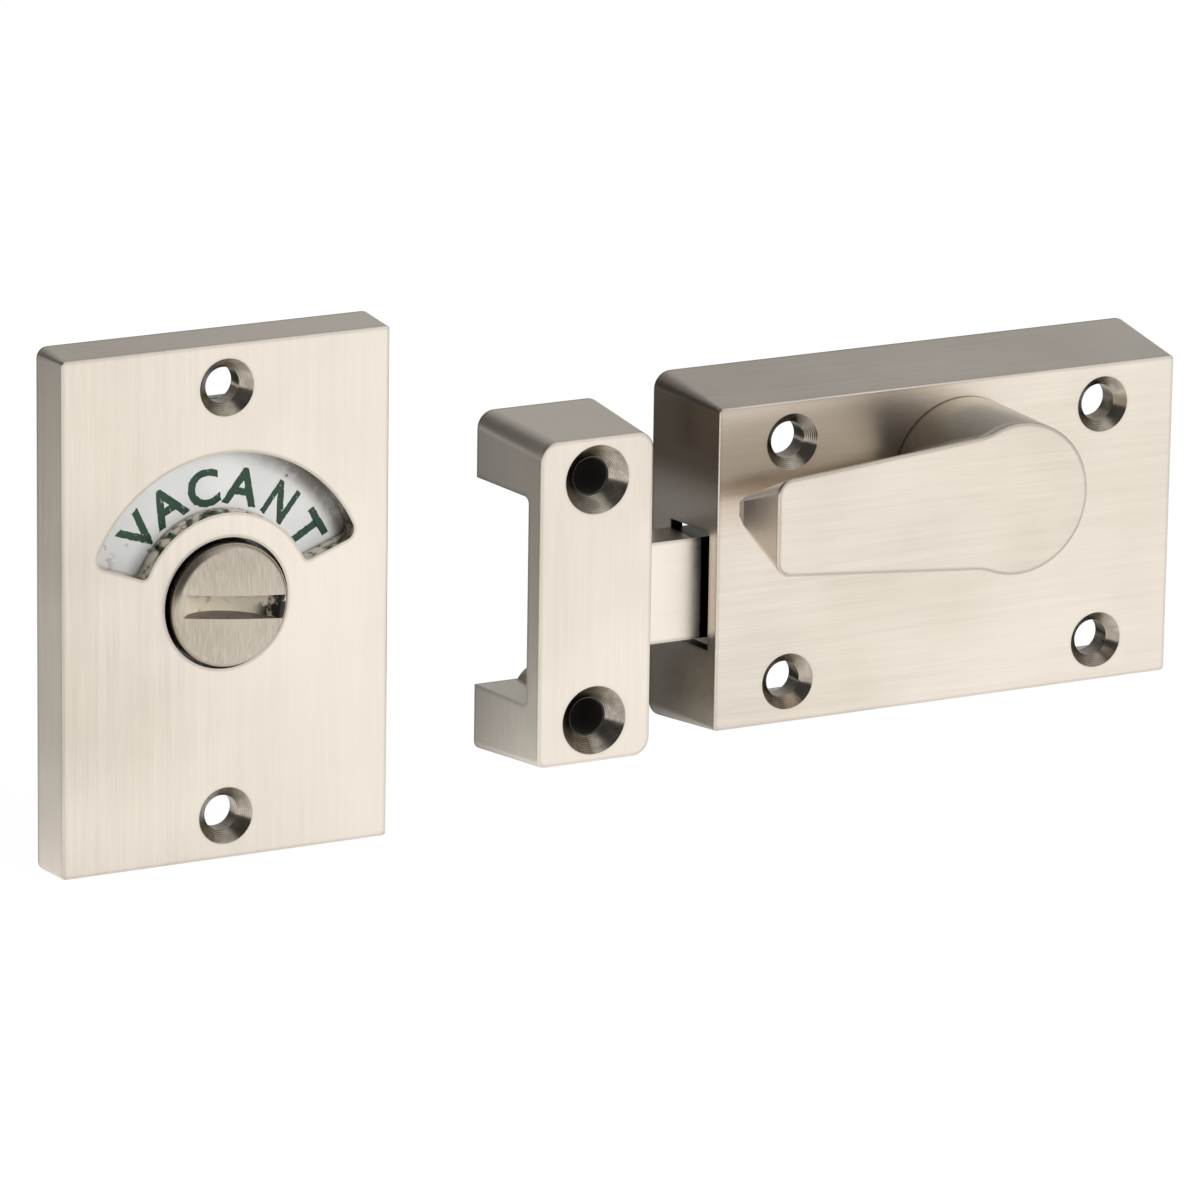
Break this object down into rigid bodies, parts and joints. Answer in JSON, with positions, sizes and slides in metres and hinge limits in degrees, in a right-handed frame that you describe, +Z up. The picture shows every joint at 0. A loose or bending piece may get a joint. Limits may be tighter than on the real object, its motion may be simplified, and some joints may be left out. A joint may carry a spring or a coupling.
{
  "type": "toilet indicator bolt",
  "caption": "Toilet door bolt with a lever turn and rack-driven bolt, its keep, and an indicator plate whose coin turn shows VACANT or ENGAGED in a curved window.",
  "frame": {"origin": "centre of the bolt case's back, where it meets the door", "axes": "+X along the bolt from the keep towards the case, +Y into the door, +Z up. The keep stands on the -X side of the case, and the indicator plate beyond it."},
  "size_m": [0.1778, 0.0813, 0.0766],
  "materials": {
    "case_nickel": "satin nickel plate with a horizontal grain on the front",
    "keep_nickel": "satin nickel plate with a vertical grain on the front",
    "plate_nickel": "satin nickel plate with a vertical grain on the front",
    "turn_nickel": "satin nickel plate, linished along the lever",
    "coin_nickel": "satin nickel plate with a rounded edge",
    "bolt_nickel": "satin nickel plate with a lengthwise grain",
    "disc_enamel": "white enamel with printed words",
    "plated_steel": "bright zinc plate",
    "spring_steel": "oiled spring steel"
  },
  "bodies": {
    "base": {"bolt_case": "case_nickel", "back_plate": "plated_steel", "back_plate_screws": "plated_steel", "stop_pin": "plated_steel", "bolt_spring": "spring_steel", "spring_rivet": "plated_steel", "keep": "keep_nickel", "indicator_plate": "plate_nickel", "indicator_bridge": "plated_steel", "bridge_screws": "plated_steel", "indicator_stop_pin": "plated_steel"},
    "turn": {"thumbturn": "turn_nickel", "drive_pinion": "plated_steel", "turn_grub_screw": "plated_steel", "turn_washer": "plated_steel"},
    "bolt": {"bolt": "bolt_nickel"},
    "indicator": {"coin_turn": "coin_nickel", "indicator_disc": "disc_enamel", "disc_rivets": "plated_steel", "indicator_washer": "plated_steel", "tail_bar": "plated_steel", "tail_bar_pin": "plated_steel", "retaining_ring": "spring_steel"}
  },
  "joints": [
    {"name": "turn", "type": "hinge", "parent": "base", "child": "turn", "pos_m": [0.0023, 0, 0.01035], "axis": [0, -1, 0], "range_deg": [0, 180]},
    {"name": "bolt_slide", "type": "slide", "parent": "base", "child": "bolt", "axis": [1, 0, 0], "range_m": [0, 0.01414]},
    {"name": "coin", "type": "hinge", "parent": "base", "child": "indicator", "pos_m": [-0.1118, 0, 0.0017], "axis": [0, -1, 0], "range_deg": [0, 180]}
  ],
  "couplings": [
    {"joint": "bolt_slide", "follows": "turn", "m_per_rad": 0.0045}
  ]
}
